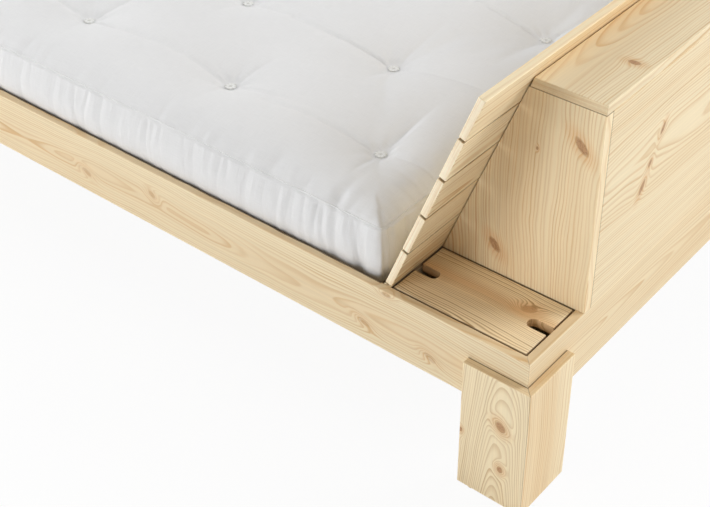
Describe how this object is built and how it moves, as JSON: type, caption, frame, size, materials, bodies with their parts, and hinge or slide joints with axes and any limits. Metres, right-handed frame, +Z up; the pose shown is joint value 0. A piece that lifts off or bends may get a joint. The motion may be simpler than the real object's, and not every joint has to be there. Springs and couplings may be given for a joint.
{
  "type": "storage bed",
  "caption": "Low pine double bed with a leaning slatted headboard chest, a lidded compartment beside each end of it, broad corner legs and a tufted futon mattress.",
  "frame": {"origin": "on the floor under the middle of the bed", "axes": "+X across the bed to the right as seen from the foot, +Y from the foot to the head, +Z up"},
  "size_m": [1.682, 2.402, 0.8444],
  "materials": {
    "pine": "clear matt lacquer",
    "plywood": "bare",
    "zinc_steel": "zinc plated",
    "cotton": "woven cotton cover",
    "tuft_felt": "felted thread",
    "glide_felt": "pressed felt"
  },
  "bodies": {
    "bed_frame": {"back_batten_left": "pine", "back_batten_right": "pine", "back_panel": "pine", "backrest_slat_1": "pine", "backrest_slat_2": "pine", "backrest_slat_3": "pine", "backrest_slat_4": "pine", "backrest_slat_5": "pine", "bay_floor_left": "plywood", "bay_floor_right": "plywood", "beam_seats": "pine", "bed_slat_01": "pine", "bed_slat_02": "pine", "bed_slat_03": "pine", "bed_slat_04": "pine", "bed_slat_05": "pine", "bed_slat_06": "pine", "bed_slat_07": "pine", "bed_slat_08": "pine", "bed_slat_09": "pine", "bed_slat_10": "pine", "bed_slat_11": "pine", "bed_slat_12": "pine", "bed_slat_13": "pine", "centre_beam": "pine", "centre_leg_1": "pine", "centre_leg_2": "pine", "centre_rib": "pine", "corner_brackets": "zinc_steel", "end_panel_left": "pine", "end_panel_right": "pine", "foot_rail": "pine", "frame_bolts": "zinc_steel", "head_rail": "pine", "ledger_left": "pine", "ledger_right": "pine", "leg_foot_left_end": "pine", "leg_foot_left_side": "pine", "leg_foot_right_end": "pine", "leg_foot_right_side": "pine", "leg_glides": "glide_felt", "leg_head_left_end": "pine", "leg_head_left_side": "pine", "leg_head_right_end": "pine", "leg_head_right_side": "pine", "lid_rest_inner_left": "pine", "lid_rest_inner_right": "pine", "lid_rest_outer_left": "pine", "lid_rest_outer_right": "pine", "partition_blocks": "pine", "partition_board": "pine", "side_rail_left": "pine", "side_rail_right": "pine", "slat_cleats": "pine", "top_board": "pine", "wood_screws": "zinc_steel"},
    "lid_left": {"lid_left": "pine"},
    "lid_right": {"lid_right": "pine"},
    "mattress": {"mattress": "cotton", "tuft_buttons": "tuft_felt"}
  },
  "joints": [
    {"name": "lid_right_tilt", "type": "hinge", "parent": "bed_frame", "child": "lid_right", "pos_m": [0.725, 0.8685, 0.36], "axis": [1, 0, 0], "range_deg": [0, 60]},
    {"name": "lid_left_tilt", "type": "hinge", "parent": "bed_frame", "child": "lid_left", "pos_m": [-0.725, 0.8685, 0.36], "axis": [1, 0, 0], "range_deg": [0, 60]},
    {"name": "mattress_lift", "type": "slide", "parent": "bed_frame", "child": "mattress", "axis": [0, 0, 1], "range_m": [0, 0.3]}
  ]
}
